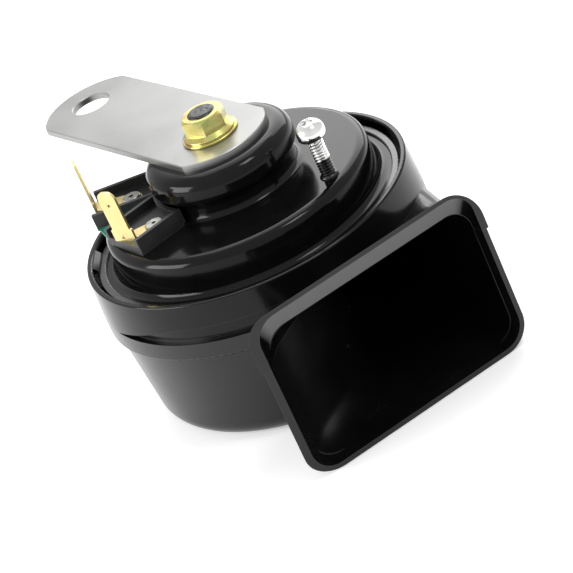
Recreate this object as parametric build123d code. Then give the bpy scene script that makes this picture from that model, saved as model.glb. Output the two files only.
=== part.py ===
from build123d import *
import os
from math import acos, atan2, cos, radians, sin, sqrt

# Disc horn with a moulded trumpet: millimetres, horn axis along +Z, bell mouth towards -Y.
# While it is modelled, z = 0 is the top of the collar's rim. The export moves the origin to
# the top of the bracket's mounting hole.

# collar and bowl
rim_radius = 50.0
rim_wall = 1.7
collar_draft = 0.7
part_line_z = -12.0          # the two shells meet here
ledge_z = -6.8               # the clamp ring sits on this ledge
ledge_width = 4.8
deck_thickness = 2.0
throat_radius = 10.0
flange_bottom_z = -18.0
bowl_top_radius = 49.2
bowl_low_radius = 46.3
base_z = -49.8
bowl_corner = 6.0
bowl_wall = 2.0
seam_up = 4.2                # open seam at the front, between collar and bowl flange
seam_down = 0.7
seam_depth = 1.8
hook_angles = (150.0, 60.0, 270.0)
hook_width = 11.0

# duct and bell
core_radius = 17.0
core_x, core_y = -4.0, 1.0
core_slot = 15.0
core_slot_angle = 232.0
bell_right = 39.3
bell_left = -37.0
bell_top_z = 2.9
mouth_y = -68.4
bell_corner = 8.5
bell_wall = 2.0
duct_wall = 2.2
throat_roof_z = -10.2        # top of the duct's roof beside the collar
throat_ceiling_z = -11.7
bell_side_wall = 2.7
touch_depth = 0.4
lip_wall = 1.5
lip_left = 3.1
lip_edge = 0.7
visor_height = 7.1           # the upper lip is slanted this far down inside
visor_depth = 4.2
band_depth = 3.0
band_proud = 0.5
# share of the way back from the mouth, and share of the left side's swing or of the roof's rise there
left_flare = ((0.0, 0.0), (0.060, 0.062), (0.121, 0.137), (0.193, 0.275), (0.265, 0.430), (0.337, 0.571),
              (0.438, 0.714), (0.582, 0.853), (0.769, 0.960), (1.0, 1.0))
roof_rise = ((0.0, 1.0), (0.121, 0.64), (0.265, 0.22), (0.40, 0.0))
ceiling_rise = ((0.0, 1.0), (0.060, 0.98), (0.121, 0.88), (0.265, 0.38), (0.40, 0.0))

# pressed steel housing
sheet = 1.5
housing_flange_z = -3.1
housing_flange_radius = 46.2
drum_radius = 40.8
drum_draft = 0.4
disc_z = 8.7
boss_radius = 22.6
boss_neck_step = 2.6         # the neck is this much narrower than the bead
boss_neck = boss_radius - boss_neck_step
boss_neck_z = 14.4
boss_foot_round = 2.2
boss_top_z = 23.2
shoulder_round = 4.4
disc_round = 2.8
fillet_low = 2.4

# diaphragm stack and its clamp ring
gasket_thickness = 0.5
diaphragm_thickness = 0.4
diaphragm_rise = 1.3
diaphragm_flat = 15.0
diaphragm_cone = 37.0
gasket_inner = 42.0
clamp_outer = 47.2
clamp_inner = 44.9
clamp_sheet = 0.8

# pole, armature and coil
pole_radius = 7.5
pole_face_z = 3.5
stud_radius = 3.95
stud_top_z = 33.2
stud_clearance = 0.05
armature_gap = 0.9
armature_radius = 12.5
armature_rim = 2.2
stem_radius = 3.0
washer_radius = 11.0
washer_thickness = 1.0
armature_nut_across = 10.0
armature_nut_height = 3.2
bobbin_clearance = 0.2
bobbin_wall = 1.0
bobbin_gap = 0.9             # between the bobbin and the housing
bobbin_radius = boss_neck - sheet - bobbin_gap
bobbin_bottom_z = 6.6
winding_inset = 1.2
winding_radius = bobbin_radius - winding_inset

# bracket and nut
bracket_thickness = 2.0
bracket_width = 31.5
bracket_end_radius = 17.3
bracket_turn = 9.1           # degrees from +Y towards -X
bracket_arc_shift = 1.0
bracket_end_centre = 62.0
bracket_hole_along = 65.8
bracket_hole_radius = 6.0
nut_across = 12.0
nut_height = 7.4
nut_flange_radius = 8.5
nut_flange_height = 1.5
nut_washer_height = 0.8      # the flange's lower part stands out like a washer
nut_washer_step = 0.6
nut_cone_height = 1.1

# adjusting screw
screw_x, screw_y = 17.3, -30.2
screw_root = 1.72            # radius at the bottom of the thread
screw_head_radius = 4.2
screw_head_z = 20.0
screw_head_height = 3.0
screw_clearance = 0.05
recess_width = 1.1
recess_length = 4.6
recess_depth = 1.8
burr_radius = 3.1            # raised lip round the tapped hole in the disc
burr_height = 0.6

# terminals
gasket_pad = 0.8
gasket_inset = 1.0           # the block hides the gasket's edge
gasket_play = 0.1
gasket_end = 41.6
block_floor = 1.8
block_wall_z = 14.0
block_wall = 1.3
block_back_gap = 1.6
block_back_radius = boss_neck + block_back_gap
near_pocket = (188.0, -11.8, 3.4, 37.4)    # outward direction, two sides, outer end
far_pocket = (152.0, -14.7, -1.0, 42.3)
tab_width = 6.3
tab_shoulder = 7.8
tab_thickness = 0.8
tab_top_z = 27.8
tab_shoulder_z = 15.2
tab_notch_width = 2.2
tab_notch_height = 1.6
near_tab = (-36.3, -0.9, 297.0)      # x, y and the direction of the blade's width
far_tab = (-33.0, 28.0, 252.0)
near_rivet = (-27.8, -3.9)
far_rivet = (-24.2, 19.2)
rivet_radius = 1.5
rivet_head = 2.9
rivet_head_height = 0.9
foot_radius = 3.2
rivet_clearance = 0.05

# contact breaker
breaker_x, breaker_y = -9.0, -29.0
breaker_pad = 8.0
breaker_plate = 1.0
insulator = 1.0
contact_gap_height = 1.6
blade_thickness = 0.4
fixed_plate_thickness = 0.8
contact_x, contact_y = 5.0, -28.6
contact_radius = 1.7
tongue_width = 4.0
blade_lift_gap = 0.05


def turned(points, radii=0):
    """Solid of revolution about Z from a closed profile of (radius, z) points."""
    outline = Plane.XZ * FilletPolyline(*points, radius=radii, close=True)
    return revolve(make_face(outline), Axis.Z)


def disc(radius, low, high, x=0.0, y=0.0):
    return Pos(x, y, low) * extrude(Circle(radius), high - low)


def ring(outer, inner, low, high):
    return disc(outer, low, high) - disc(inner, low - 1, high + 1)


def block(x0, x1, y0, y1, z0, z1):
    return Pos((x0 + x1) / 2, (y0 + y1) / 2, (z0 + z1) / 2) * Box(x1 - x0, y1 - y0, z1 - z0)


def prism(points, low, high):
    return Pos(0, 0, low) * extrude(make_face(Polyline(*points, close=True)), high - low)


def hexagon(across, low, high, x=0.0, y=0.0):
    return Pos(x, y, low) * extrude(RegularPolygon(across / 2, 6, major_radius=False), high - low)


def in_frame(angle, along, across):
    """Plan point at a distance along a direction and to its left."""
    a = radians(angle)
    return (along * cos(a) - across * sin(a), along * sin(a) + across * cos(a))


# ---- trumpet -------------------------------------------------------------------------------

def touch_point(radius):
    """Where a line from the bell's right side at the mouth touches a circle just inside the bowl."""
    radius = radius - touch_depth
    turn = atan2(mouth_y, bell_right) + acos(radius / sqrt(bell_right ** 2 + mouth_y ** 2))
    return radius * cos(turn), radius * sin(turn)


def duct_side(wall):
    """Left side of the duct in plan, from the mouth back to the core, moved out by a wall."""
    air_left = bell_left + lip_left
    duct_left = core_x + core_radius
    line = [(air_left + (duct_left - air_left) * swing, mouth_y + (core_y - mouth_y) * along)
            for along, swing in left_flare]
    moved = []
    for i, (x, y) in enumerate(line):
        x0, y0 = line[max(i - 1, 0)]
        x1, y1 = line[min(i + 1, len(line) - 1)]
        run = sqrt((x1 - x0) ** 2 + (y1 - y0) ** 2)
        moved.append((x - wall * (y1 - y0) / run, y + wall * (x1 - x0) / run))
    moved[0] = (line[0][0] - wall * 1.2, mouth_y)
    moved[-1] = (duct_left - wall, core_y)
    return moved


def duct_outline(wall, radius, z):
    """Plan of the duct and bell at one height; the right side runs straight to touch the bowl."""
    left = duct_side(wall)
    touch_x, touch_y = touch_point(radius)
    shift = (wall - bell_wall) * bell_side_wall / bell_wall
    right_front = (bell_right + shift, mouth_y)
    right_back = (touch_x + shift, touch_y)
    return Pos(0, 0, z) * make_face([Spline(*left), Line(left[-1], right_back), Line(right_back, right_front),
                                     Line(right_front, left[0])])


def duct_plan(wall):
    """Upright walls of the duct and bell; the right side leans like the bowl's wall."""
    lean = (bowl_top_radius - bowl_low_radius) / (flange_bottom_z - base_z)
    low, high = base_z - 2, bell_top_z + 2
    outlines = [duct_outline(wall, bowl_low_radius + lean * (z - base_z), z) for z in (low, high)]
    return loft(outlines, ruled=True)


def duct_profile(rows, throat_z, mouth_z, floor):
    """Side view of the duct and bell, extruded across them."""
    roof = [(mouth_y + (core_y - mouth_y) * along, throat_z + (mouth_z - throat_z) * rise)
            for along, rise in rows]
    start = (roof[1][0] - roof[0][0], roof[1][1] - roof[0][1])
    outline = make_face([Spline(*roof, tangents=[start, (1, 0)], tangent_scalars=[1, 1]),
                         Line(roof[-1], (core_y, throat_z)), Line((core_y, throat_z), (core_y, floor)),
                         Line((core_y, floor), (mouth_y, floor)), Line((mouth_y, floor), roof[0])])
    return extrude(Plane.YZ * outline, 80, both=True)


def long_edges(solid):
    """Edges that run from the mouth back along the duct."""
    return [e for e in solid.edges() if e.bounding_box().size.Y > 20]


def bell_outside(grow=0.0):
    body = duct_plan(bell_wall + grow) & duct_profile(
        roof_rise, throat_roof_z + grow, bell_top_z + grow, base_z - grow)
    return fillet(long_edges(body), bell_corner + grow)


def bell_inside():
    """Air in the duct and the bell."""
    air = duct_plan(0) & duct_profile(
        ceiling_rise, throat_ceiling_z, bell_top_z - visor_height, base_z + bell_wall)
    return fillet(long_edges(air), bell_corner - bell_wall)


def lip_section(y, left, right, low, high, corner):
    corners = [(left, low), (right, low), (right, high), (left, high)]
    outline = FilletPolyline(*corners, radius=corner, close=True)
    return Pos(0, y, 0) * make_face(Plane.XZ * outline)


def lip_opening():
    """Air inside the lip: the upper lip is a slanted hood."""
    front = lip_section(mouth_y - 0.1, bell_left + lip_left, bell_right - lip_wall, base_z + lip_wall,
                        bell_top_z - lip_edge, bell_corner - lip_wall)
    back = lip_section(mouth_y + visor_depth, bell_left + lip_left + 3, bell_right - bell_wall,
                       base_z + bell_wall, bell_top_z - visor_height, bell_corner - bell_wall)
    return loft([front, back], ruled=True)


def lip_band():
    """Raised band round the upper lip."""
    reach = block(-90, 90, mouth_y, mouth_y + band_depth, part_line_z, bell_top_z + 5)
    return bell_outside(band_proud) & reach


def bowl_outside():
    flange_radius = rim_radius + collar_draft
    return turned(
        [(0, base_z), (bowl_low_radius, base_z), (bowl_top_radius, flange_bottom_z - 0.3),
         (flange_radius, flange_bottom_z), (flange_radius, part_line_z), (0, part_line_z)],
        [0, bowl_corner, 0, 0.6, 0, 0])


def bowl_inside():
    inner = bowl_low_radius - bowl_wall
    top = bowl_top_radius - bowl_wall
    return turned([(0, base_z + bowl_wall), (inner, base_z + bowl_wall), (top, flange_bottom_z),
                   (top, part_line_z + 1), (0, part_line_z + 1)], [0, bowl_corner - bowl_wall, 0, 0, 0])


def seam_wedge():
    """Opening between collar and bowl flange, closing to nothing at the left."""
    top, low = part_line_z + seam_up, part_line_z - seam_down
    profile = [(-1, part_line_z), (-27, top), (-48, top), (-48, low), (-27, low)]
    wedge = extrude(Plane.YZ * make_face(Polyline(*profile, close=True)), 70, both=True)
    outside = rim_radius + collar_draft - seam_depth
    sleeve = ring(rim_radius + 4, outside, low - 1, top + 1)
    return wedge & sleeve & block(-60, -13, -60, 0, low, top)


def make_lower_shell():
    outside = bowl_outside() + (bell_outside() & block(-80, 80, -90, core_y, base_z - 1, part_line_z))
    shell = outside - bowl_inside() - bell_inside() - lip_opening()
    core = disc(core_radius, base_z + bowl_wall, part_line_z, core_x, core_y)
    well = disc(core_radius - duct_wall, base_z, part_line_z + 1, core_x, core_y)
    slot = Pos(core_x, core_y, 0) * Rot(0, 0, core_slot_angle) * block(
        0, core_radius + 1, -core_slot / 2, core_slot / 2, base_z + bowl_wall, part_line_z + 1)
    wall = (bell_outside() - bell_inside()) & bowl_inside() & block(-30, 20, -60, core_y, base_z, part_line_z)
    wall = wall - disc(core_radius - 0.5, base_z, part_line_z + 1, core_x, core_y)
    return shell + (core - well - slot) + wall - seam_wedge()


def snap_hook(angle):
    """Catch on the collar's inside wall, over the clamp ring."""
    wall = rim_radius - rim_wall
    top = -0.2
    low = clamp_top_z() + 0.1
    reach = clamp_outer - 0.6
    catch = Polyline((wall + 0.4, top), (wall - 0.5, top), (reach, low + 0.6), (reach, low),
                     (wall + 0.4, low), close=True)
    return Rot(0, 0, angle) * extrude(Plane.XZ * make_face(catch), hook_width / 2, both=True)


def make_upper_shell():
    wall = rim_radius - rim_wall
    foot = rim_radius + collar_draft
    deck_top = part_line_z + deck_thickness
    collar = turned(
        [(throat_radius, part_line_z), (foot, part_line_z), (rim_radius, 0), (wall, 0), (wall, ledge_z),
         (wall - ledge_width, ledge_z), (wall - ledge_width, deck_top), (throat_radius, deck_top)],
        [0, 0, 0.5, 0.4, 0, 0.5, 0.5, 0.8])
    over_bell = (bell_outside() & block(-80, 80, -90, 10, part_line_z, 20)) + lip_band()
    over_bell = over_bell - disc(rim_radius - 0.5, part_line_z - 1, 20)
    shell = collar + over_bell - bell_inside() - lip_opening() - seam_wedge()
    for angle in hook_angles:
        shell += snap_hook(angle)
    return shell


# ---- steel housing and what it clamps --------------------------------------------------------

def stack_z():
    """Levels of the clamped edge, from the flange's underside down."""
    flange_low = housing_flange_z - sheet
    upper_low = flange_low - gasket_thickness
    diaphragm_low = upper_low - diaphragm_thickness
    return flange_low, upper_low, diaphragm_low, ledge_z + clamp_sheet


def clamp_top_z():
    return housing_flange_z + clamp_sheet


def housing_path():
    points = [(stud_radius + stud_clearance, boss_top_z), (boss_radius, boss_top_z),
              (boss_radius, boss_neck_z + 1.6), (boss_neck, boss_neck_z - 1.2), (boss_neck, disc_z),
              (drum_radius, disc_z), (drum_radius + drum_draft, housing_flange_z),
              (housing_flange_radius, housing_flange_z)]
    radii = [shoulder_round, 2.0, 1.8, boss_foot_round, disc_round, fillet_low]
    return points, radii


def make_coil_housing():
    points, radii = housing_path()
    path = FilletPolyline(*points, radius=radii)
    skin = make_face(Plane.XZ * offset(path, sheet, side=Side.RIGHT))
    housing = revolve(skin, Axis.Z)
    sunk = sheet / 2
    burr = Cone(burr_radius + sunk, screw_root + 0.5, burr_height + sunk,
                align=(Align.CENTER, Align.CENTER, Align.MIN))
    housing += Pos(screw_x, screw_y, disc_z - sunk) * burr
    housing -= disc(screw_root + screw_clearance, disc_z - 3, disc_z + 3, screw_x, screw_y)
    for x, y in (near_rivet, far_rivet):
        housing -= disc(rivet_radius + rivet_clearance, disc_z - 3, disc_z + 3, x, y)
    return housing


def make_clamp_ring():
    top = clamp_top_z()
    body = ring(clamp_outer, clamp_outer - clamp_sheet, ledge_z, top)
    body += ring(clamp_outer, clamp_inner, top - clamp_sheet, top)
    body += ring(clamp_outer, clamp_inner, ledge_z, ledge_z + clamp_sheet)
    rim = body.edges().filter_by(GeomType.CIRCLE).group_by(Axis.Z)[-1]
    return fillet([e for e in rim], 0.38)


def make_diaphragm():
    _, top, low, _ = stack_z()
    rise = diaphragm_rise
    thick = diaphragm_thickness
    return turned([(stem_radius + 0.05, low + rise), (diaphragm_flat, low + rise), (diaphragm_cone, low),
                   (housing_flange_radius, low), (housing_flange_radius, low + thick),
                   (diaphragm_cone, low + thick), (diaphragm_flat, low + rise + thick),
                   (stem_radius + 0.05, low + rise + thick)])


def make_gasket(low, high):
    return ring(housing_flange_radius, gasket_inner, low, high)


def make_pole_core():
    under_top = boss_top_z - sheet
    body = turned([(0, pole_face_z), (pole_radius, pole_face_z), (pole_radius, under_top),
                   (stud_radius, under_top), (stud_radius, stud_top_z), (0, stud_top_z)],
                  [0, 0.4, 0, 0, 0.6, 0])
    return body


def make_armature():
    _, _, low, _ = stack_z()
    seat = low + diaphragm_rise + diaphragm_thickness
    face = pole_face_z - armature_gap
    lift = blade_bottom_z() - blade_lift_gap
    stem_low = seat - diaphragm_thickness - washer_thickness - armature_nut_height - 0.6
    return turned([(0, stem_low), (stem_radius, stem_low), (stem_radius, seat), (armature_radius - 2.5, seat),
                   (armature_radius, seat + 2.0), (armature_radius, lift),
                   (armature_radius - armature_rim, lift), (armature_radius - armature_rim, face), (0, face)])


def armature_under_z():
    _, _, low, _ = stack_z()
    return low + diaphragm_rise


def make_armature_washer():
    top = armature_under_z()
    return ring(washer_radius, stem_radius + 0.05, top - washer_thickness, top)


def make_armature_nut():
    top = armature_under_z() - washer_thickness
    nut = hexagon(armature_nut_across, top - armature_nut_height, top)
    return nut - disc(stem_radius + 0.02, top - armature_nut_height - 1, top + 1)


def make_bobbin():
    top = boss_top_z - sheet - 0.2
    inner = pole_radius + bobbin_clearance
    tube = ring(inner + bobbin_wall, inner, bobbin_bottom_z, top)
    tube += ring(bobbin_radius, inner, bobbin_bottom_z, bobbin_bottom_z + bobbin_wall)
    return tube + ring(bobbin_radius, inner, top - bobbin_wall, top)


def make_winding():
    top = boss_top_z - sheet - 0.2 - bobbin_wall
    inner = pole_radius + bobbin_clearance + bobbin_wall
    return turned([(inner, bobbin_bottom_z + bobbin_wall), (winding_radius, bobbin_bottom_z + bobbin_wall),
                   (winding_radius, top), (inner, top)])


# ---- bracket, nut and screw ------------------------------------------------------------------

def bracket_outline():
    """Strip with an arc at each end; the arcs meet the sides at sharp corners."""
    half = bracket_width / 2
    rise = bracket_end_radius - sqrt(bracket_end_radius ** 2 - half ** 2)
    near = bracket_arc_shift - bracket_end_radius
    far = bracket_end_centre + bracket_end_radius
    side_a = Line((near + rise, -half), (far - rise, -half))
    end_far = ThreePointArc((far - rise, -half), (far, 0), (far - rise, half))
    side_b = Line((far - rise, half), (near + rise, half))
    end_near = ThreePointArc((near + rise, half), (near, 0), (near + rise, -half))
    return make_face([side_a, end_far, side_b, end_near])


def make_bracket():
    strip = extrude(bracket_outline(), bracket_thickness)
    strip -= disc(stud_radius + 0.3, -1, bracket_thickness + 1)
    strip -= disc(bracket_hole_radius, -1, bracket_thickness + 1, bracket_hole_along, 0)
    strip = chamfer(strip.faces().sort_by(Axis.Z)[-1].edges(), 0.25)
    return Pos(0, 0, boss_top_z) * Rot(0, 0, 90 + bracket_turn) * strip


def bracket_hole():
    x, y = in_frame(90 + bracket_turn, bracket_hole_along, 0)
    return x, y, boss_top_z + bracket_thickness


def make_flange_nut():
    low = boss_top_z + bracket_thickness
    shoulder = low + nut_flange_height
    step_z = low + nut_washer_height
    step = nut_flange_radius - nut_washer_step
    body = turned([(0, low), (nut_flange_radius, low), (nut_flange_radius, step_z), (step, step_z),
                   (step, shoulder), (nut_across / 2 + 0.6, shoulder + nut_cone_height),
                   (0, shoulder + nut_cone_height)], [0, 0.3, 0.25, 0, 0.3, 0, 0])
    corner = nut_across / sqrt(3)
    crown = turned([(0, low), (corner + 1, low), (corner + 1, low + nut_height - 1.6),
                    (nut_across / 2 - 0.2, low + nut_height), (0, low + nut_height)])
    body += hexagon(nut_across, low + 0.5, low + nut_height) & crown
    return body - disc(stud_radius + 0.02, low - 1, low + nut_height + 1)


def make_adjusting_screw():
    tip = fixed_plate_top_z()
    crown = screw_head_z + screw_head_height
    shaft = turned([(0, tip), (screw_root, tip), (screw_root, screw_head_z),
                    (screw_head_radius, screw_head_z), (screw_head_radius, crown), (0, crown)],
                   [0, 0.5, 0, 0.5, 1.7, 0])
    for turn in (20, 110):
        slot = block(-recess_length / 2, recess_length / 2, -recess_width / 2, recess_width / 2,
                     crown - recess_depth, crown + 1)
        shaft -= Rot(0, 0, turn) * slot
    return Pos(screw_x, screw_y, 0) * shaft


# ---- terminals -------------------------------------------------------------------------------

def pocket_prism(pocket, grow, stretch, low, high):
    """Plan rectangle of a pocket: its outward direction, two sides and outer end."""
    turn, side_a, side_b, end = pocket
    reach = end + stretch
    corners = [in_frame(turn, 10, side_a - grow), in_frame(turn, reach, side_a - grow),
               in_frame(turn, reach, side_b + grow), in_frame(turn, 10, side_b + grow)]
    return prism(corners, low, high)


def both_pockets(grow, stretch, low, high):
    return (pocket_prism(near_pocket, grow, stretch, low, high)
            + pocket_prism(far_pocket, grow, stretch, low, high))


def block_levels():
    seat = disc_z + gasket_pad
    return seat, seat + block_floor


def make_terminal_block():
    seat, floor = block_levels()
    body = both_pockets(block_wall, 0, disc_z, block_wall_z)
    body -= disc(block_back_radius, disc_z - 1, block_wall_z + 1)
    room = both_pockets(0, 9, floor, block_wall_z + 1)
    room -= disc(block_back_radius + block_wall, seat - 1, block_wall_z + 2)
    body -= room + gasket_blank(gasket_play, disc_z - 1, seat)
    body -= disc(boss_neck + boss_foot_round + 0.1, disc_z - 1, seat)
    for x, y in (near_rivet, far_rivet):
        body -= disc(rivet_radius + rivet_clearance, seat - 1, floor + 1, x, y)
    return body


def gasket_blank(grow, low, high):
    """Sheet under both pockets and across the notch between them."""
    near_turn, near_side, _, near_end = near_pocket
    far_turn, _, far_side, far_end = far_pocket
    inset = gasket_inset - grow
    notch = [in_frame(near_turn, block_back_radius + 2, near_side), in_frame(near_turn, near_end, near_side),
             in_frame(far_turn, far_end, far_side), in_frame(far_turn, block_back_radius + 2, far_side)]
    sheet_plan = both_pockets(block_wall - inset, -inset, low, high) + prism(notch, low, high)
    sheet_plan &= disc(gasket_end + grow, low, high)
    return sheet_plan - disc(block_back_radius + inset, low - 1, high + 1)


def make_terminal_gasket():
    seat, _ = block_levels()
    body = gasket_blank(0, disc_z, seat)
    for x, y in (near_rivet, far_rivet):
        body -= disc(rivet_radius + rivet_clearance, disc_z - 1, seat + 1, x, y)
    return body


def make_tab(tab, rivet):
    """Blade terminal: an upright blade on a flat foot that runs to its rivet."""
    x, y, turn = tab
    _, floor = block_levels()
    foot_top = floor + tab_thickness
    wide = tab_shoulder / 2
    slim = tab_width / 2
    outline = FilletPolyline((-wide, floor), (wide, floor), (wide, tab_shoulder_z), (slim, tab_shoulder_z),
                             (slim, tab_top_z), (-slim, tab_top_z), (-slim, tab_shoulder_z),
                             (-wide, tab_shoulder_z), radius=[0, 0, 0.5, 0, 2.4, 2.4, 0, 0.5], close=True)
    blade = Plane.XZ * make_face(outline)
    blade = extrude(blade, tab_thickness / 2, both=True)
    dimple = Pos(0, 0, tab_top_z - 4.6) * Rot(90, 0, 0) * Cylinder(0.7, 4)
    notch = make_face(Polyline((-tab_notch_width / 2, foot_top), (tab_notch_width / 2, foot_top),
                               (0, foot_top + tab_notch_height), close=True))
    notch = extrude(Plane.XZ * notch, tab_thickness, both=True)
    blade = Pos(x, y, 0) * Rot(0, 0, turn) * (blade - dimple - notch)
    a = radians(turn)
    ends = [(x - slim * cos(a), y - slim * sin(a)), (x + slim * cos(a), y + slim * sin(a))]
    way = atan2(rivet[1] - y, rivet[0] - x)
    side = (-sin(way) * foot_radius, cos(way) * foot_radius)
    ends += [(rivet[0] + side[0], rivet[1] + side[1]), (rivet[0] - side[0], rivet[1] - side[1])]
    ends.sort(key=lambda p: atan2(p[1] - (y + rivet[1]) / 2, p[0] - (x + rivet[0]) / 2))
    foot = prism(ends, floor, foot_top) + disc(foot_radius, floor, foot_top, *rivet)
    return blade + foot - disc(rivet_radius + rivet_clearance, floor - 1, foot_top + 1, *rivet)


def make_terminal_rivet(rivet):
    _, floor = block_levels()
    foot_top = floor + tab_thickness
    under = disc_z - sheet
    top = foot_top + rivet_head_height
    body = turned([(0.7, under - 0.8), (2.3, under - 0.8), (2.3, under), (rivet_radius, under),
                   (rivet_radius, foot_top), (rivet_head, foot_top), (rivet_head, top), (0.7, top)],
                  [0, 0, 0, 0, 0, 0, 0.5, 0])
    return Pos(rivet[0], rivet[1], 0) * body


# ---- contact breaker -------------------------------------------------------------------------

def blade_top_z():
    return disc_z - sheet - breaker_plate - insulator


def blade_bottom_z():
    return blade_top_z() - blade_thickness


def fixed_plate_top_z():
    return blade_bottom_z() - contact_gap_height


def breaker_hole():
    return disc(rivet_radius + rivet_clearance, -10, disc_z, breaker_x, breaker_y)


def breaker_pad_solid(low, high):
    half = breaker_pad / 2
    pad = block(breaker_x - half, breaker_x + half, breaker_y - half, breaker_y + half, low, high)
    return pad - breaker_hole()


def make_contact_blade():
    half = breaker_pad / 2
    low, high = blade_bottom_z(), blade_top_z()
    strip = block(breaker_x - half, contact_x + 3.0, breaker_y - 3.0, breaker_y + 3.6, low, high)
    tongue = block(contact_x - 1.0, contact_x - 1.0 + tongue_width, breaker_y + 3.0, -10.6, low, high)
    return strip + tongue - breaker_hole()


def make_fixed_contact_plate():
    half = breaker_pad / 2
    high = fixed_plate_top_z()
    strip = block(breaker_x - half, screw_x + 3.4, breaker_y - 4.0, breaker_y + 3.0,
                  high - fixed_plate_thickness, high)
    return strip - breaker_hole()


def make_breaker_rivet():
    low = fixed_plate_top_z() - fixed_plate_thickness - insulator
    top = disc_z - sheet
    body = turned([(0, low - 0.8), (2.6, low - 0.8), (2.6, low), (rivet_radius, low), (rivet_radius, top),
                   (0, top)])
    return Pos(breaker_x, breaker_y, 0) * body


def make_nodes():
    flange_low, upper_low, diaphragm_low, clamp_floor = stack_z()
    plate_low = fixed_plate_top_z() - fixed_plate_thickness
    contact_mid = fixed_plate_top_z() + contact_gap_height / 2
    return {
        "trumpet_upper_shell": make_upper_shell(),
        "trumpet_lower_shell": make_lower_shell(),
        "coil_housing": make_coil_housing(),
        "clamp_ring": make_clamp_ring(),
        "gasket_upper": make_gasket(upper_low, flange_low),
        "gasket_lower": make_gasket(clamp_floor, diaphragm_low),
        "diaphragm": make_diaphragm(),
        "pole_core": make_pole_core(),
        "coil_bobbin": make_bobbin(),
        "coil_winding": make_winding(),
        "armature": make_armature(),
        "armature_washer": make_armature_washer(),
        "armature_nut": make_armature_nut(),
        "mounting_bracket": make_bracket(),
        "flange_nut": make_flange_nut(),
        "adjusting_screw": make_adjusting_screw(),
        "terminal_block": make_terminal_block(),
        "terminal_gasket": make_terminal_gasket(),
        "terminal_tab_near": make_tab(near_tab, near_rivet),
        "terminal_tab_far": make_tab(far_tab, far_rivet),
        "terminal_rivet_near": make_terminal_rivet(near_rivet),
        "terminal_rivet_far": make_terminal_rivet(far_rivet),
        "breaker_bracket": breaker_pad_solid(disc_z - sheet - breaker_plate, disc_z - sheet),
        "insulator_upper": breaker_pad_solid(blade_top_z(), blade_top_z() + insulator),
        "insulator_middle": breaker_pad_solid(fixed_plate_top_z(), blade_bottom_z()),
        "insulator_lower": breaker_pad_solid(plate_low - insulator, plate_low),
        "contact_blade": make_contact_blade(),
        "moving_contact": disc(contact_radius, contact_mid, blade_bottom_z(), contact_x, contact_y),
        "fixed_contact_plate": make_fixed_contact_plate(),
        "fixed_contact": disc(contact_radius, fixed_plate_top_z(), contact_mid, contact_x, contact_y),
        "breaker_rivet": make_breaker_rivet(),
    }


def main():
    os.makedirs("parts", exist_ok=True)
    x, y, z = bracket_hole()
    for name, solid in make_nodes().items():
        export_step(Pos(-x, -y, -z) * solid, f"parts/{name}.step")
    print(f"origin moved from the horn axis by {x:.3f}, {y:.3f}, {z:.3f} mm")


main()
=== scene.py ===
import math

import bpy
from mathutils import Matrix, Vector


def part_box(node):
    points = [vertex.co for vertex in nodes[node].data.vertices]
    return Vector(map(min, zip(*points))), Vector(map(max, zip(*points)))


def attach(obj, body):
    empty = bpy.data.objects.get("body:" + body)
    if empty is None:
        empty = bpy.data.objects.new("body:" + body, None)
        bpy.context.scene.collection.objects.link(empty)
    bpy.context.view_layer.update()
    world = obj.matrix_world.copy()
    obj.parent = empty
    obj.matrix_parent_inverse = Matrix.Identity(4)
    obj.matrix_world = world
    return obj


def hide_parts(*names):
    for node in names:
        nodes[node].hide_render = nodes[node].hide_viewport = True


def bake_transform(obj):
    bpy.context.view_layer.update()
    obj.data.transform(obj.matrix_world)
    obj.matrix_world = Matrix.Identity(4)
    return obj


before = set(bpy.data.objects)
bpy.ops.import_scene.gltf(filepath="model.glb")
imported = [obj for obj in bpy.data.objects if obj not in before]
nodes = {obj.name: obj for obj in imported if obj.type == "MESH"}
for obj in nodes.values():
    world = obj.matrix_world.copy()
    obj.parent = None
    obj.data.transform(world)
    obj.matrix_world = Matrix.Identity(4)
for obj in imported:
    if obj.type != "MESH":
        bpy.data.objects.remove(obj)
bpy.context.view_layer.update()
print("frame loaded:", len(nodes), "nodes")

hornAxis = Vector((0.010407, -0.064972, 0.0))    # centre line of the horn in plan
rimTop = -0.0252                                 # top of the collar's rim
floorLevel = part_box("trumpet_lower_shell")[0][2]


# ---- camera

camera = {
    "place": (-0.20296, -0.74936, 0.31525),
    "right": (0.807, -0.456, -0.375),
    "forward": (0.266, 0.848, -0.459),
    "lens": 171.5,
    "sensor": 36.0,
    "nearest": 0.05,
}


def addCamera():
    forward = Vector(camera["forward"]).normalized()
    right = Vector(camera["right"])
    right = (right - right.dot(forward) * forward).normalized()
    up = right.cross(forward)
    turn = Matrix((right, up, -forward)).transposed()
    data = bpy.data.cameras.new("camera")
    data.lens = camera["lens"]
    data.sensor_width = camera["sensor"]
    data.clip_start = camera["nearest"]
    seen = bpy.data.objects.new("camera", data)
    seen.matrix_world = Matrix.Translation(camera["place"]) @ turn.to_4x4()
    bpy.context.collection.objects.link(seen)
    bpy.context.scene.camera = seen


addCamera()
print("camera placed")


# ---- shader helpers

def newMaterial(name):
    material = bpy.data.materials.new(name)
    material.use_nodes = True
    tree = material.node_tree
    return material, tree, tree.nodes["Principled BSDF"]


def addNode(tree, kind, inputs=None, **settings):
    node = tree.nodes.new(kind)
    for name, value in settings.items():
        setattr(node, name, value)
    for name, value in (inputs or {}).items():
        if hasattr(value, "is_linked"):
            tree.links.new(value, node.inputs[name])
        else:
            node.inputs[name].default_value = value
    return node


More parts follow.
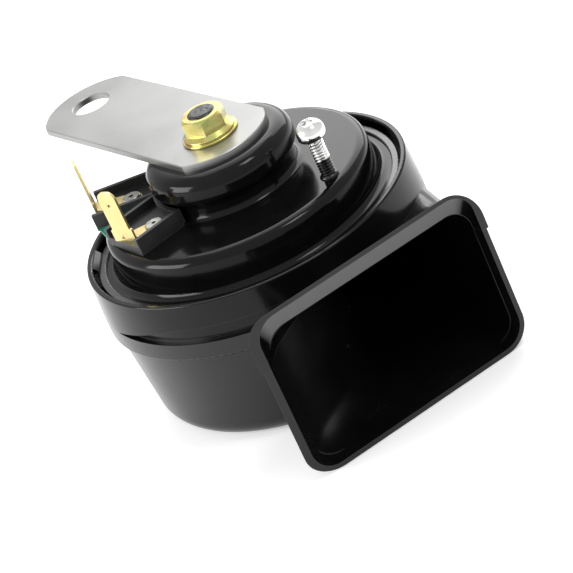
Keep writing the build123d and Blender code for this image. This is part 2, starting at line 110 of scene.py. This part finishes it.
def newGroup(name, inputs, outputs):
    group = bpy.data.node_groups.new(name, "ShaderNodeTree")
    for label, value in inputs.items():
        socket = group.interface.new_socket(label, in_out="INPUT", socket_type="NodeSocketFloat")
        socket.default_value = value
    for label, kind in outputs.items():
        group.interface.new_socket(label, in_out="OUTPUT", socket_type=kind)
    return group, addNode(group, "NodeGroupInput").outputs, addNode(group, "NodeGroupOutput").inputs


def placeGroup(tree, group, **values):
    node = addNode(tree, "ShaderNodeGroup", node_tree=group)
    for label, value in values.items():
        node.inputs[label].default_value = value
    return node.outputs


def objectCoords(tree):
    return addNode(tree, "ShaderNodeTexCoord").outputs["Object"]


def objectAxis(tree, axis):
    return addNode(tree, "ShaderNodeSeparateXYZ", {0: objectCoords(tree)}).outputs[axis]


def calculate(tree, operation, *values, clamp=False):
    node = addNode(tree, "ShaderNodeMath", dict(enumerate(values)), operation=operation, use_clamp=clamp)
    return node.outputs[0]


def between(tree, factor, low, high):
    return addNode(tree, "ShaderNodeMapRange", {"Value": factor, "To Min": low, "To Max": high}).outputs[0]


def mixColours(tree, factor, first, second):
    mix = addNode(tree, "ShaderNodeMix", data_type="RGBA")
    for value, slot in ((factor, 0), (first, 6), (second, 7)):
        if hasattr(value, "is_linked"):
            tree.links.new(value, mix.inputs[slot])
        else:
            mix.inputs[slot].default_value = (*value, 1) if slot else value
    return mix.outputs[2]


def paintOver(tree, shader, mask, tone):
    under = shader.inputs["Base Color"].links[0].from_socket
    tree.links.new(mixColours(tree, mask, under, tone), shader.inputs["Base Color"])


# ---- shared effects

def buildBlotches():
    # soft uneven patches, 0 to 1
    group, given, out = newGroup("blotches", {"Scale": 40.0, "Spread": 0.25}, {"Mask": "NodeSocketFloat"})
    noise = addNode(group, "ShaderNodeTexNoise", {
        "Vector": objectCoords(group), "Scale": given["Scale"], "Detail": 5.0, "Roughness": 0.6})
    low = calculate(group, "SUBTRACT", 0.5, given["Spread"])
    high = calculate(group, "ADD", 0.5, given["Spread"])
    spread = addNode(group, "ShaderNodeMapRange", {
        "Value": noise.outputs[0], "From Min": low, "From Max": high})
    group.links.new(spread.outputs[0], out["Mask"])
    return group


def buildGrain():
    # fine surface relief, drawn out along one axis when Stretch is above 1
    group, given, out = newGroup("grain", {"Scale": 900.0, "Depth": 0.00002, "Stretch": 1.0},
                                 {"Normal": "NodeSocketVector"})
    squeeze = calculate(group, "DIVIDE", 1.0, given["Stretch"])
    axes = addNode(group, "ShaderNodeCombineXYZ", {"X": 1.0, "Y": squeeze, "Z": 1.0})
    place = addNode(group, "ShaderNodeVectorMath", {0: objectCoords(group), 1: axes.outputs[0]},
                    operation="MULTIPLY")
    noise = addNode(group, "ShaderNodeTexNoise", {
        "Vector": place.outputs[0], "Scale": given["Scale"], "Detail": 3.0, "Roughness": 0.55})
    bump = addNode(group, "ShaderNodeBump", {
        "Height": noise.outputs[0], "Distance": given["Depth"], "Strength": 1.0})
    group.links.new(bump.outputs[0], out["Normal"])
    return group


def buildEdgeWearAndGlint():
    # 1 on sharp edges, broken up by noise; the tone it brings in is partly edge wear and partly a painted
    # glint
    group, given, out = newGroup("wornEdges", {"Width": 0.0003, "Gain": 3.0}, {"Mask": "NodeSocketFloat"})
    rounded = addNode(group, "ShaderNodeBevel", {"Radius": given["Width"]}, samples=4)
    flat = addNode(group, "ShaderNodeNewGeometry")
    lean = addNode(group, "ShaderNodeVectorMath", {0: rounded.outputs[0], 1: flat.outputs["Normal"]},
                   operation="DOT_PRODUCT")
    bent = calculate(group, "SUBTRACT", 1.0, lean.outputs["Value"])
    strong = calculate(group, "MULTIPLY", bent, given["Gain"])
    noise = addNode(group, "ShaderNodeTexNoise", {
        "Vector": objectCoords(group), "Scale": 350.0, "Detail": 3.0})
    group.links.new(calculate(group, "MULTIPLY", strong, noise.outputs[0], clamp=True), out["Mask"])
    return group


def buildCoated():
    # 1 below a level, with a wavy upper edge
    group, given, out = newGroup("coated", {"Level": 0.0, "Wave": 0.0006}, {"Mask": "NodeSocketFloat"})
    coords = objectCoords(group)
    height = addNode(group, "ShaderNodeSeparateXYZ", {0: coords}).outputs["Z"]
    noise = addNode(group, "ShaderNodeTexNoise", {"Vector": coords, "Scale": 500.0}).outputs[0]
    top = calculate(group, "ADD", given["Level"], calculate(group, "MULTIPLY", noise, given["Wave"]))
    group.links.new(calculate(group, "LESS_THAN", height, top), out["Mask"])
    return group


blotches = buildBlotches()
grain = buildGrain()
wornEdges = buildEdgeWearAndGlint()
coated = buildCoated()
print("shared effects built")


# ---- finishes

usualLook = {"metal": 0.0, "shine": 0.5, "spread": 0.22, "stretch": 1.0, "edgeGain": 3.0}


def makeFinish(name, chosen):
    look = {**usualLook, **chosen}
    material, tree, shader = newMaterial(name)
    shader.inputs["Metallic"].default_value = look["metal"]
    shader.inputs["Specular IOR Level"].default_value = look["shine"]
    patches = placeGroup(tree, blotches, Scale=look["patch"], Spread=look["spread"])["Mask"]
    ramp = addNode(tree, "ShaderNodeValToRGB", {"Fac": patches})
    stops = ramp.color_ramp.elements
    while len(stops) < len(look["tones"]):
        stops.new(0.5)
    for i, tone in enumerate(look["tones"]):
        stops[i].position = i / (len(look["tones"]) - 1)
        stops[i].color = (*tone, 1)
    colour = ramp.outputs[0]
    if "edge" in look:
        # the lighter edge tone is partly wear and partly a painted glint on the edges
        edge = placeGroup(tree, wornEdges, Width=look["edgeWidth"], Gain=look["edgeGain"])["Mask"]
        colour = mixColours(tree, edge, colour, look["edge"])
    tree.links.new(colour, shader.inputs["Base Color"])
    tree.links.new(between(tree, patches, *look["rough"]), shader.inputs["Roughness"])
    relief = placeGroup(tree, grain, Scale=look["grain"], Depth=look["depth"], Stretch=look["stretch"])
    tree.links.new(relief["Normal"], shader.inputs["Normal"])
    return material


looks = {
    "mouldedBlack": {
        "tones": [(0.0025, 0.0025, 0.003), (0.005, 0.005, 0.0055)], "patch": 60.0, "rough": (0.13, 0.2),
        "shine": 0.22, "grain": 1800.0, "depth": 0.000003,
        "edge": (0.05, 0.05, 0.052), "edgeWidth": 0.0004},
    "paintedBlack": {
        "tones": [(0.0025, 0.0025, 0.0028), (0.005, 0.005, 0.0055)], "patch": 80.0, "rough": (0.09, 0.15),
        "shine": 0.16, "grain": 500.0, "depth": 0.000006,
        "edge": (0.03, 0.03, 0.03), "edgeWidth": 0.0003},
    "foldedRing": {
        "tones": [(0.008, 0.008, 0.008), (0.016, 0.016, 0.016)], "patch": 120.0, "rough": (0.2, 0.32),
        "shine": 0.6, "grain": 700.0, "depth": 0.000006,
        "edge": (0.08, 0.08, 0.08), "edgeWidth": 0.0003},
    "satinZinc": {
        "tones": [(0.235, 0.235, 0.23), (0.285, 0.285, 0.28), (0.32, 0.32, 0.315)], "patch": 28.0,
        "rough": (0.34, 0.46), "metal": 1.0, "grain": 900.0, "depth": 0.000008, "stretch": 9.0,
        "edge": (0.62, 0.62, 0.61), "edgeWidth": 0.0004},
    "yellowZinc": {
        "tones": [(0.48, 0.31, 0.20), (0.48, 0.41, 0.12), (0.54, 0.49, 0.18), (0.31, 0.40, 0.11)],
        "patch": 190.0, "spread": 0.2, "rough": (0.16, 0.28), "metal": 1.0,
        "grain": 1500.0, "depth": 0.000008,
        "edge": (0.9, 0.8, 0.5), "edgeWidth": 0.0003},
    "tabBrass": {
        "tones": [(0.58, 0.47, 0.20), (0.68, 0.56, 0.28)], "patch": 160.0, "rough": (0.3, 0.42),
        "metal": 1.0, "grain": 1300.0, "depth": 0.000006, "stretch": 6.0,
        "edge": (0.9, 0.84, 0.6), "edgeWidth": 0.0003},
    "rivetSteel": {
        "tones": [(0.30, 0.30, 0.27), (0.52, 0.52, 0.48)], "patch": 400.0, "rough": (0.2, 0.35),
        "metal": 1.0, "grain": 1500.0, "depth": 0.000008,
        "edge": (0.7, 0.7, 0.68), "edgeWidth": 0.0003},
    "blockBlack": {
        "tones": [(0.008, 0.008, 0.009), (0.016, 0.016, 0.017)], "patch": 150.0, "rough": (0.42, 0.58),
        "shine": 0.5, "grain": 2500.0, "depth": 0.00001,
        "edge": (0.1, 0.1, 0.1), "edgeWidth": 0.0004},
    "greenSeal": {
        "tones": [(0.0, 0.12, 0.075), (0.01, 0.2, 0.13)], "patch": 300.0, "rough": (0.4, 0.55),
        "grain": 2500.0, "depth": 0.00001},
    "fibreSheet": {
        "tones": [(0.2, 0.19, 0.16), (0.32, 0.3, 0.25)], "patch": 500.0, "rough": (0.7, 0.85),
        "grain": 3000.0, "depth": 0.00002},
    "springSheet": {
        "tones": [(0.4, 0.4, 0.42), (0.55, 0.55, 0.56)], "patch": 70.0, "rough": (0.2, 0.32), "metal": 1.0,
        "grain": 1200.0, "depth": 0.000005, "stretch": 12.0},
    "turnedSteel": {
        "tones": [(0.34, 0.34, 0.35), (0.48, 0.48, 0.49)], "patch": 120.0, "rough": (0.3, 0.42), "metal": 1.0,
        "grain": 1400.0, "depth": 0.000006},
    "copperWire": {
        "tones": [(0.5, 0.16, 0.05), (0.66, 0.26, 0.1)], "patch": 300.0, "rough": (0.22, 0.34), "metal": 1.0,
        "grain": 300.0, "depth": 0.000005},
    "nylon": {
        "tones": [(0.6, 0.57, 0.48), (0.7, 0.68, 0.6)], "patch": 90.0, "rough": (0.4, 0.5),
        "grain": 1800.0, "depth": 0.000006},
    "paperBoard": {
        "tones": [(0.2, 0.09, 0.035), (0.3, 0.14, 0.06)], "patch": 350.0, "rough": (0.45, 0.6),
        "grain": 2200.0, "depth": 0.00001, "stretch": 8.0},
    "contactMetal": {
        "tones": [(0.28, 0.28, 0.3), (0.42, 0.42, 0.44)], "patch": 900.0, "rough": (0.3, 0.45), "metal": 1.0,
        "grain": 2600.0, "depth": 0.00001},
}
looks["upperShellBlack"] = looks["mouldedBlack"]
# the lower shell has a softer but stronger shine
looks["lowerShellBlack"] = dict(looks["mouldedBlack"], shine=0.42, rough=(0.2, 0.28))
finishes = {name: makeFinish(name, look) for name, look in looks.items()}


# the slanted lip over the mouth gets a satin roughness and a pale tone, a painted reflection that is paler
# than the black of the rest of the shell
visorPaintedReflection = {
    "facing": (0.0, -0.861, -0.509),    # the way the lip's inner face looks
    "startFacing": 0.84,      # from this dot product with it to the next, the tone fades in
    "fullFacing": 0.97,
    "behind": -0.1288,        # nothing further back than this
    "tone": (0.16, 0.16, 0.162),
    "rough": 0.5,
}


def addVisorPaintedReflection(material):
    tree = material.node_tree
    shader = tree.nodes["Principled BSDF"]
    normal = addNode(tree, "ShaderNodeNewGeometry").outputs["Normal"]
    facing = addNode(tree, "ShaderNodeVectorMath", {0: normal, 1: visorPaintedReflection["facing"]},
                     operation="DOT_PRODUCT").outputs["Value"]
    slanted = addNode(tree, "ShaderNodeMapRange", {
        "Value": facing, "From Min": visorPaintedReflection["startFacing"], "From Max": visorPaintedReflection["fullFacing"]})
    ahead = calculate(tree, "LESS_THAN", objectAxis(tree, "Y"), visorPaintedReflection["behind"])
    mask = calculate(tree, "MULTIPLY", slanted.outputs[0], ahead)
    # the pale tone mixed in here is a painted reflection on the lip
    paintOver(tree, shader, mask, visorPaintedReflection["tone"])
    rough = shader.inputs["Roughness"].links[0].from_socket
    satin = addNode(tree, "ShaderNodeMix", {0: mask, 2: rough, 3: visorPaintedReflection["rough"]})
    tree.links.new(satin.outputs[0], shader.inputs["Roughness"])


addVisorPaintedReflection(finishes["upperShellBlack"])


# copper turns show as fine rings on the winding
winding = {"pitch": 0.00055, "depth": 0.00012}


def ringTheWinding(material):
    tree = material.node_tree
    turns = calculate(tree, "MULTIPLY", objectAxis(tree, "Z"), 2 * math.pi / winding["pitch"])
    wave = calculate(tree, "SINE", turns)
    bump = addNode(tree, "ShaderNodeBump", {"Height": wave, "Distance": winding["depth"]})
    tree.links.new(bump.outputs[0], tree.nodes["Principled BSDF"].inputs["Normal"])


ringTheWinding(finishes["copperWire"])


# bright zinc with black varnish up to a level on the shank
screwFinish = {
    "zinc": [(0.62, 0.62, 0.61), (0.84, 0.84, 0.83)],
    "varnish": (0.004, 0.004, 0.004),
    "level": rimTop + 0.0139,
    "wave": 0.0012,
    "patch": 300.0,
    "spread": 0.2,
    "rough": (0.12, 0.24),
    "grain": 900.0,
    "depth": 0.00002,
}


def makeScrewFinish():
    material, tree, shader = newMaterial("screwZinc")
    patches = placeGroup(tree, blotches, Scale=screwFinish["patch"], Spread=screwFinish["spread"])["Mask"]
    zinc = mixColours(tree, patches, *screwFinish["zinc"])
    mask = placeGroup(tree, coated, Level=screwFinish["level"], Wave=screwFinish["wave"])["Mask"]
    tree.links.new(mixColours(tree, mask, zinc, screwFinish["varnish"]), shader.inputs["Base Color"])
    tree.links.new(between(tree, mask, 1.0, 0.0), shader.inputs["Metallic"])
    tree.links.new(between(tree, patches, *screwFinish["rough"]), shader.inputs["Roughness"])
    relief = placeGroup(tree, grain, Scale=screwFinish["grain"], Depth=screwFinish["depth"])
    tree.links.new(relief["Normal"], shader.inputs["Normal"])
    return material


finishes["screwZinc"] = makeScrewFinish()


# the stud's end is painted black down to the nut
studPaint = {"from": rimTop + 0.0322, "tone": (0.006, 0.006, 0.006), "lumps": 700.0, "depth": 0.0004}


def makeStudFinish():
    material = makeFinish("paintedStud", looks["turnedSteel"])
    tree = material.node_tree
    shader = tree.nodes["Principled BSDF"]
    mask = calculate(tree, "GREATER_THAN", objectAxis(tree, "Z"), studPaint["from"])
    paintOver(tree, shader, mask, studPaint["tone"])
    tree.links.new(between(tree, mask, 1.0, 0.0), shader.inputs["Metallic"])
    noise = addNode(tree, "ShaderNodeTexNoise", {"Vector": objectCoords(tree), "Scale": studPaint["lumps"]})
    lumps = calculate(tree, "MULTIPLY", noise.outputs[0], mask)
    bump = addNode(tree, "ShaderNodeBump", {"Height": lumps, "Distance": studPaint["depth"]})
    tree.links.new(bump.outputs[0], shader.inputs["Normal"])
    return material


finishes["paintedStud"] = makeStudFinish()

looks["varnish"] = {
    "tones": [(0.003, 0.003, 0.003), (0.007, 0.007, 0.006)], "patch": 500.0, "rough": (0.12, 0.3),
    "grain": 900.0, "depth": 0.00008}
finishes["varnish"] = makeFinish("varnish", looks["varnish"])

wears = {
    "trumpet_upper_shell": "upperShellBlack",
    "trumpet_lower_shell": "lowerShellBlack",
    "coil_housing": "paintedBlack",
    "clamp_ring": "foldedRing",
    "mounting_bracket": "satinZinc",
    "flange_nut": "yellowZinc",
    "pole_core": "paintedStud",
    "adjusting_screw": "screwZinc",
    "terminal_block": "blockBlack",
    "terminal_gasket": "greenSeal",
    "terminal_tab_near": "tabBrass",
    "terminal_tab_far": "tabBrass",
    "terminal_rivet_near": "rivetSteel",
    "terminal_rivet_far": "rivetSteel",
    "gasket_upper": "fibreSheet",
    "gasket_lower": "fibreSheet",
    "diaphragm": "springSheet",
    "contact_blade": "springSheet",
    "armature": "turnedSteel",
    "armature_washer": "satinZinc",
    "armature_nut": "satinZinc",
    "coil_bobbin": "nylon",
    "coil_winding": "copperWire",
    "insulator_upper": "paperBoard",
    "insulator_middle": "paperBoard",
    "insulator_lower": "paperBoard",
    "breaker_bracket": "turnedSteel",
    "fixed_contact_plate": "tabBrass",
    "fixed_contact": "contactMetal",
    "moving_contact": "contactMetal",
    "breaker_rivet": "rivetSteel",
}


def dressNodes():
    for name, node in nodes.items():
        node.data.materials.clear()
        node.data.materials.append(finishes[wears[name]])


dressNodes()
print("finishes assigned")


# ---- modelling helpers

weldGap = 0.000001               # points nearer than this are merged


def deselectAll():
    if bpy.context.object and bpy.context.object.mode != "OBJECT":
        bpy.ops.object.mode_set(mode="OBJECT")
    bpy.ops.object.select_all(action="DESELECT")


def finishPiece(piece, name, finish, body="horn"):
    bpy.ops.object.mode_set(mode="EDIT")
    bpy.ops.mesh.select_all(action="SELECT")
    bpy.ops.mesh.remove_doubles(threshold=weldGap)
    bpy.ops.mesh.normals_make_consistent(inside=False)
    bpy.ops.object.mode_set(mode="OBJECT")
    bpy.ops.object.transform_apply(location=True, rotation=True, scale=True)
    piece.name = name
    piece.data.materials.clear()
    piece.data.materials.append(finishes[finish])
    if body:
        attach(piece, body)


def nodeCentre(node):
    low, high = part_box(node)
    return (Vector(low) + Vector(high)) / 2


def lathe(profile, place, steps):
    # the profile runs from the axis round to the axis again, as radius and height
    deselectAll()
    bpy.ops.mesh.primitive_circle_add(vertices=len(profile), location=place)
    piece = bpy.context.object
    points = piece.data.vertices
    for point, (out, up) in zip(points, profile):
        point.co = (out, 0.0, up)
    bpy.ops.object.mode_set(mode="EDIT")
    bpy.ops.mesh.select_mode(type="EDGE")
    bpy.ops.mesh.select_all(action="DESELECT")
    bpy.ops.object.mode_set(mode="OBJECT")
    for edge in piece.data.edges:
        edge.select = all(points[i].co.x == 0.0 for i in edge.vertices)
    bpy.ops.object.mode_set(mode="EDIT")
    bpy.ops.mesh.delete(type="EDGE")
    bpy.ops.object.mode_set(mode="OBJECT")
    turn = piece.modifiers.new("turn", "SCREW")
    turn.axis = "Z"
    turn.steps = turn.render_steps = steps
    turn.use_merge_vertices = True
    turn.merge_threshold = weldGap
    bpy.ops.object.modifier_apply(modifier="turn")
    bpy.ops.object.mode_set(mode="EDIT")
    bpy.ops.mesh.select_mode(type="VERT")
    bpy.ops.mesh.select_all(action="SELECT")
    bpy.ops.mesh.remove_doubles(threshold=weldGap)
    bpy.ops.mesh.normals_make_consistent(inside=False)
    bpy.ops.object.mode_set(mode="OBJECT")
    return piece


# ---- adjusting screw with its thread

screw = {
    "low": -0.0184,           # heights are from the underside of the head
    "shank": 0.00186,
    # radius and height round the head, up to the axis
    "head": [(0.0039, 0.0), (0.0042, 0.0004), (0.00425, 0.0014), (0.00422, 0.0024), (0.0039, 0.0034),
             (0.0033, 0.0042), (0.0025, 0.0048), (0.0014, 0.0051)],
    "headTop": 0.0052,
    "under": rimTop + 0.0216,
    "steps": 48,
    # half width and half length of the recess, at its bottom and at its top
    "recess": [(0.0003, 0.0008), (0.0006, 0.0024)],
    "recessDepth": 0.0026,
    "recessTop": 0.0004,      # the cutting blades stand out of the head by this
    "recessTurn": math.radians(38),
    "smooth": math.radians(35),
}
screwThread = {
    "root": 0.0018,           # just inside the shank
    "crest": 0.0023,
    "pitch": 0.0009,
    "land": 0.00038,          # half width of the ridge at the shank
    "low": rimTop + 0.0085,
    "high": rimTop + 0.0212,
    "steps": 32,              # per turn
    "smooth": math.radians(35),
}


def cutAway(piece, tool):
    deselectAll()
    piece.select_set(True)
    bpy.context.view_layer.objects.active = piece
    cut = piece.modifiers.new("cut", "BOOLEAN")
    cut.operation = "DIFFERENCE"
    cut.object = tool
    bpy.ops.object.modifier_apply(modifier="cut")
    bpy.data.objects.remove(tool)


def cutRecess(piece, place):
    # two tapered blades make the cross
    (narrowLow, longLow), (narrowHigh, longHigh) = screw["recess"]
    for turn in (0.0, math.pi / 2):
        deselectAll()
        bpy.ops.mesh.primitive_cube_add(size=2.0, location=place)
        blade = bpy.context.object
        for point in blade.data.vertices:
            high = point.co.z > 0
            wide, far = (narrowHigh, longHigh) if high else (narrowLow, longLow)
            up = screw["recessTop"] if high else -screw["recessDepth"]
            point.co = (point.co.x * wide, point.co.y * far, up)
        blade.rotation_euler.z = screw["recessTurn"] + turn
        cutAway(piece, blade)


def addScrew():
    centre = nodeCentre("adjusting_screw")
    foot = (centre.x, centre.y, screw["under"])
    profile = [(0.0, screw["low"]), (screw["shank"], screw["low"]), (screw["shank"], 0.0)]
    piece = lathe(profile + screw["head"] + [(0.0, screw["headTop"])], foot, screw["steps"])
    cutRecess(piece, (centre.x, centre.y, screw["under"] + screw["headTop"]))
    finishPiece(piece, "adjusting_screw_body", "screwZinc")
    bpy.ops.object.shade_smooth_by_angle(angle=screw["smooth"])
    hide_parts("adjusting_screw")


def addScrewThread():
    centre = nodeCentre("adjusting_screw")
    low, high, land = screwThread["low"], screwThread["high"], screwThread["land"]
    deselectAll()
    bpy.ops.mesh.primitive_circle_add(vertices=3, radius=land, location=(centre.x, centre.y, low))
    thread = bpy.context.object
    corners = [(screwThread["crest"], 0.0), (screwThread["root"], land), (screwThread["root"], -land)]
    for vertex, (out, up) in zip(thread.data.vertices, corners):
        vertex.co = (out, 0.0, up)
    turns = (high - low) / screwThread["pitch"]
    helix = thread.modifiers.new("helix", "SCREW")
    helix.axis = "Z"
    helix.angle = 2 * math.pi * turns
    helix.screw_offset = high - low
    helix.steps = helix.render_steps = int(turns * screwThread["steps"])
    bpy.ops.object.modifier_apply(modifier="helix")
    bpy.ops.object.mode_set(mode="EDIT")
    bpy.ops.mesh.select_all(action="DESELECT")
    bpy.ops.mesh.select_mode(type="EDGE")
    bpy.ops.mesh.select_non_manifold()            # the two open ends
    bpy.ops.mesh.fill_holes(sides=0)
    finishPiece(thread, "adjusting_screw_thread", "screwZinc")
    bpy.ops.object.shade_smooth_by_angle(angle=screwThread["smooth"])


addScrew()
addScrewThread()
print("adjusting screw made")


# ---- diaphragm: on the horn its edge is clamped and its middle moves with the armature; here it is turned as a thin sheet

diaphragm = {
    "edge": 0.0462,
    "foot": 0.037,            # the cone rises from here
    "flat": 0.015,            # to here
    "hole": 0.00305,
    "thick": 0.0004,
    "rise": 0.0013,
    "rings": 8,               # down the cone
    "steps": 96,
    "smooth": math.radians(30),
}


def addDiaphragm():
    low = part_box("diaphragm")[0][2]
    foot, flat, rise = diaphragm["foot"], diaphragm["flat"], diaphragm["rise"]
    under = [(diaphragm["edge"], 0.0)]
    for i in range(diaphragm["rings"] + 1):
        share = i / diaphragm["rings"]
        under.append((foot + (flat - foot) * share, rise * share))
    under.append((diaphragm["hole"], rise))
    over = [(out, up + diaphragm["thick"]) for out, up in reversed(under)]
    piece = lathe(under + over, (hornAxis.x, hornAxis.y, low), diaphragm["steps"])
    finishPiece(piece, "diaphragm_sheet", "springSheet", body=None)
    bpy.ops.object.shade_smooth_by_angle(angle=diaphragm["smooth"])
    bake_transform(piece)
    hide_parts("diaphragm")


addDiaphragm()
print("diaphragm made")


# ---- contact blade: on the horn it is clamped between the insulators and bends beside them; here it is a flat strip cut across where it would bend

contactBlade = {
    "stripWidth": 0.0066,
    "tongueWidth": 0.004,
    "hole": (0.004, 0.003),   # from the corner of the strip
    "holeRadius": 0.00155,
    "holeSteps": 32,
    "clampLength": 0.008,
    "bendLength": 0.003,
    "cuts": 6,
    "facing": 0.9,            # a normal this near +Y belongs to the back edge
}


def addContactBlade():
    low, high = (Vector(corner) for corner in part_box("contact_blade"))
    middle = (low + high) / 2
    back = low.y + contactBlade["stripWidth"]
    bendStart = low.x + contactBlade["clampLength"]
    tongueStart = high.x - contactBlade["tongueWidth"]
    deselectAll()
    bpy.ops.mesh.primitive_cube_add(
        size=1.0, location=(middle.x, (low.y + back) / 2, middle.z),
        scale=(high.x - low.x, back - low.y, high.z - low.z))
    piece = bpy.context.object
    bpy.ops.object.transform_apply(location=True, rotation=True, scale=True)
    bpy.ops.object.mode_set(mode="EDIT")
    cuts = contactBlade["cuts"]
    bends = [bendStart + contactBlade["bendLength"] * i / cuts for i in range(cuts + 1)]
    for x in bends + [tongueStart]:
        bpy.ops.mesh.select_all(action="SELECT")
        bpy.ops.mesh.bisect(plane_co=(x, 0, 0), plane_no=(1, 0, 0))
    bpy.ops.mesh.select_mode(type="FACE")
    bpy.ops.mesh.select_all(action="DESELECT")
    bpy.ops.object.mode_set(mode="OBJECT")
    for face in piece.data.polygons:
        face.select = face.normal.y > contactBlade["facing"] and face.center.x > tongueStart
    bpy.ops.object.mode_set(mode="EDIT")
    bpy.ops.mesh.extrude_region_move(TRANSFORM_OT_translate={"value": (0, high.y - back, 0)})
    bpy.ops.object.mode_set(mode="OBJECT")
    across, along = contactBlade["hole"]
    deselectAll()
    bpy.ops.mesh.primitive_cylinder_add(
        vertices=contactBlade["holeSteps"], radius=contactBlade["holeRadius"],
        depth=4 * (high.z - low.z), location=(low.x + across, low.y + along, middle.z))
    cutAway(piece, bpy.context.object)
    finishPiece(piece, "contact_blade_strip", "springSheet", body=None)
    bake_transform(piece)
    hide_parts("contact_blade")


addContactBlade()
print("contact blade made")


# ---- sealing varnish

varnishLumps = {
    "steps": 28,
    "evenness": 0.7,          # 1 would push every point equally far
    "foot": {
        "low": rimTop + 0.0088,
        "profile": [(0.0, 0.0), (0.0029, 0.0), (0.0028, 0.0003), (0.0024, 0.0006), (0.0021, 0.0009),
                    (0.0, 0.0009)],
        "rough": 0.0002, "seed": 3},
    "stud": {
        "low": rimTop + 0.0323,
        "profile": [(0.0, 0.0), (0.0044, 0.0), (0.0043, 0.00035), (0.0039, 0.0007), (0.0030, 0.0008),
                    (0.0015, 0.00082), (0.0, 0.00082)],
        "rough": 0.00016, "seed": 8},
}


def addVarnish(name, node, lump):
    centre = nodeCentre(node)
    piece = lathe(lump["profile"], (centre.x, centre.y, lump["low"]), varnishLumps["steps"])
    bpy.ops.object.mode_set(mode="EDIT")
    bpy.ops.mesh.select_all(action="SELECT")
    bpy.ops.transform.vertex_random(
        offset=lump["rough"], uniform=varnishLumps["evenness"], normal=0.0, seed=lump["seed"])
    bpy.ops.object.mode_set(mode="OBJECT")
    soften = piece.modifiers.new("soften", "SUBSURF")
    soften.levels = soften.render_levels = 1
    bpy.ops.object.modifier_apply(modifier="soften")
    finishPiece(piece, name, "varnish")
    bpy.ops.object.shade_smooth()


addVarnish("screw_foot_varnish", "adjusting_screw", varnishLumps["foot"])
addVarnish("stud_top_varnish", "pole_core", varnishLumps["stud"])
print("varnish added")


# ---- floor, background and lamps

studio = {
    "floorSize": 6.0,
    "floorGap": 0.0002,       # below the lowest point
    "floorColour": (0.86, 0.86, 0.86),
    "floorRough": 0.9,
    "floorShine": 0.1,
    "floorLift": 0.34,        # added for the camera and mirror rays, so that the paper is white
    "worldLight": 0.62,
    "aim": hornAxis + Vector((0, 0, -0.02)),    # the lamps point here
    "lamps": [
        # name, place, size, power
        ("lampLeft", (-0.75, 0.05, 0.22), (0.5, 0.4), 6.0),
        ("lampTop", (0.22, 0.36, 0.85), (0.65, 0.65), 2.9),
        ("lampFront", (0.26, -0.5, 0.82), (0.24, 0.24), 2.0),
        ("lampBack", (0.5, 0.45, 0.36), (0.7, 0.6), 3.8),
    ],
}


def showWhite(tree, plain, white, target):
    # the white is seen directly, in mirrors and through glass, and lights nothing
    path = addNode(tree, "ShaderNodeLightPath")
    seen = path.outputs["Is Camera Ray"]
    for kind in ("Is Glossy Ray", "Is Transmission Ray"):
        seen = calculate(tree, "ADD", seen, path.outputs[kind], clamp=True)
    pick = addNode(tree, "ShaderNodeMixShader", {0: seen})
    tree.links.new(plain, pick.inputs[1])
    tree.links.new(white, pick.inputs[2])
    tree.links.new(pick.outputs[0], target)


def addStudio():
    deselectAll()
    bpy.ops.mesh.primitive_plane_add(
        size=studio["floorSize"], location=(0, 0, floorLevel - studio["floorGap"]))
    floor = bpy.context.object
    floor.name = "floor"
    material, tree, shader = newMaterial("floorPaper")
    shader.inputs["Base Color"].default_value = (*studio["floorColour"], 1)
    shader.inputs["Roughness"].default_value = studio["floorRough"]
    shader.inputs["Specular IOR Level"].default_value = studio["floorShine"]
    glow = addNode(tree, "ShaderNodeEmission", {"Strength": studio["floorLift"]})
    lifted = addNode(tree, "ShaderNodeAddShader")
    tree.links.new(shader.outputs[0], lifted.inputs[0])
    tree.links.new(glow.outputs[0], lifted.inputs[1])
    showWhite(tree, shader.outputs[0], lifted.outputs[0], tree.nodes["Material Output"].inputs[0])
    floor.data.materials.append(material)

    world = bpy.data.worlds.new("studio")
    bpy.context.scene.world = world
    world.use_nodes = True
    tree = world.node_tree
    back = tree.nodes["Background"]
    back.inputs["Color"].default_value = (1, 1, 1, 1)
    back.inputs["Strength"].default_value = studio["worldLight"]
    white = addNode(tree, "ShaderNodeBackground", {"Color": (1, 1, 1, 1), "Strength": 1.0})
    showWhite(tree, back.outputs[0], white.outputs[0], tree.nodes["World Output"].inputs[0])

    for name, place, (wide, high), power in studio["lamps"]:
        data = bpy.data.lights.new(name, "AREA")
        data.shape = "RECTANGLE"
        data.size, data.size_y = wide, high
        data.energy = power
        lamp = bpy.data.objects.new(name, data)
        lamp.location = place
        lamp.rotation_euler = (studio["aim"] - lamp.location).to_track_quat("-Z", "Y").to_euler()
        bpy.context.collection.objects.link(lamp)


addStudio()
print("studio lit")

bpy.context.scene.view_settings.view_transform = "Standard"
